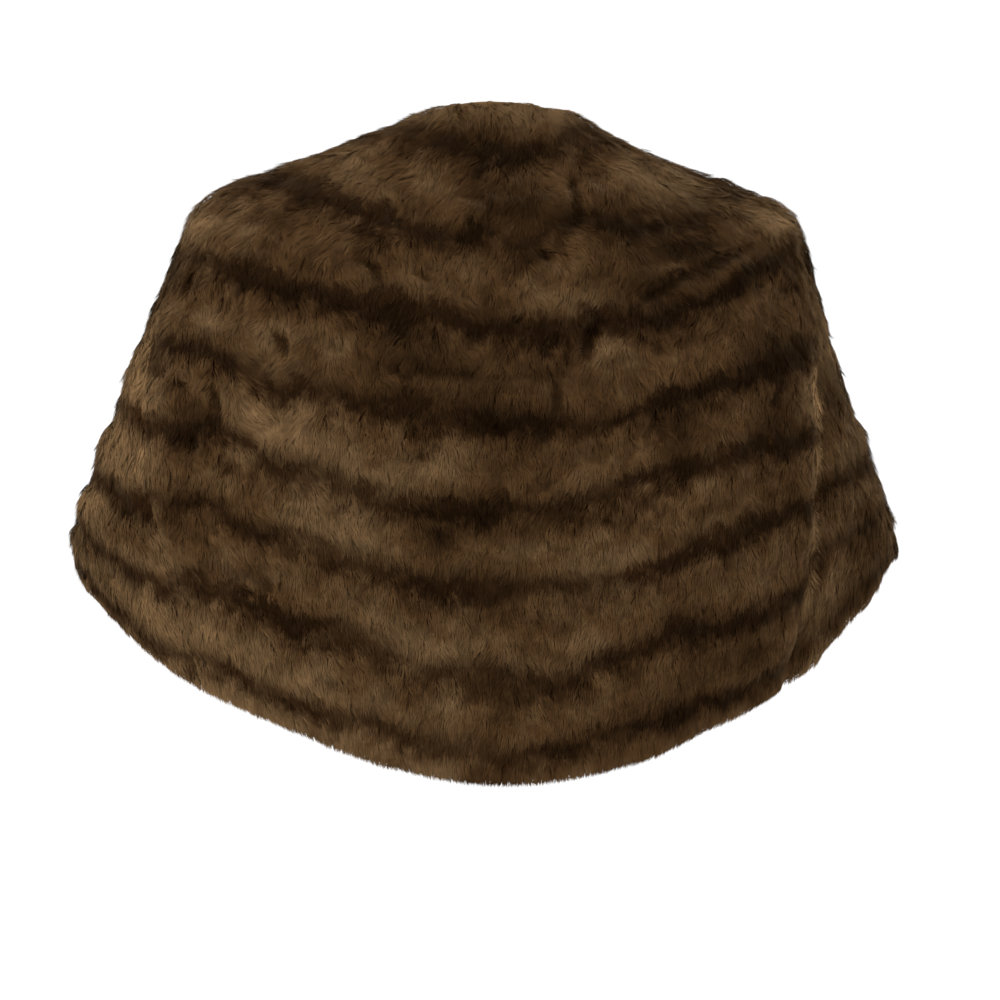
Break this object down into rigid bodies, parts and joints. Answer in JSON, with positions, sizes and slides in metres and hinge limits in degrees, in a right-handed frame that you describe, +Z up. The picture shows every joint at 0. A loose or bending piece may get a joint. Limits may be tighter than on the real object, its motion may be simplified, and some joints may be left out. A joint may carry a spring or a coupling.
{
  "type": "mink stole",
  "caption": "Wide fur stole worn open over the shoulders, made of long skins sewn edge to edge in rows that sag across the back.",
  "frame": {"origin": "the base of the wearer's neck, where the stole rests on the shoulders", "axes": "+Z up, -Y the wearer's front, +X the wearer's left; the deep back is on the +Y side"},
  "size_m": [0.7287, 0.3216, 0.5742],
  "materials": {
    "fur": "soft brown mink fur with a darker stripe down each skin",
    "leather": "dyed suede side of the skins, matt"
  },
  "bodies": {
    "root": {"back_left_1": "fur", "back_left_2": "fur", "back_left_3": "fur", "back_left_4": "fur", "back_left_5": "fur", "back_left_6": "fur", "back_left_7": "fur", "back_left_8": "fur", "front_left_1": "fur", "front_left_2": "fur", "front_left_3": "fur", "front_left_4": "fur", "front_left_5": "fur", "front_left_6": "fur", "front_left_7": "fur", "back_right_1": "fur", "back_right_2": "fur", "back_right_3": "fur", "back_right_4": "fur", "back_right_5": "fur", "back_right_6": "fur", "back_right_7": "fur", "back_right_8": "fur", "front_right_1": "fur", "front_right_2": "fur", "front_right_3": "fur", "front_right_4": "fur", "front_right_5": "fur", "front_right_6": "fur", "front_right_7": "fur"}
  },
  "joints": []
}
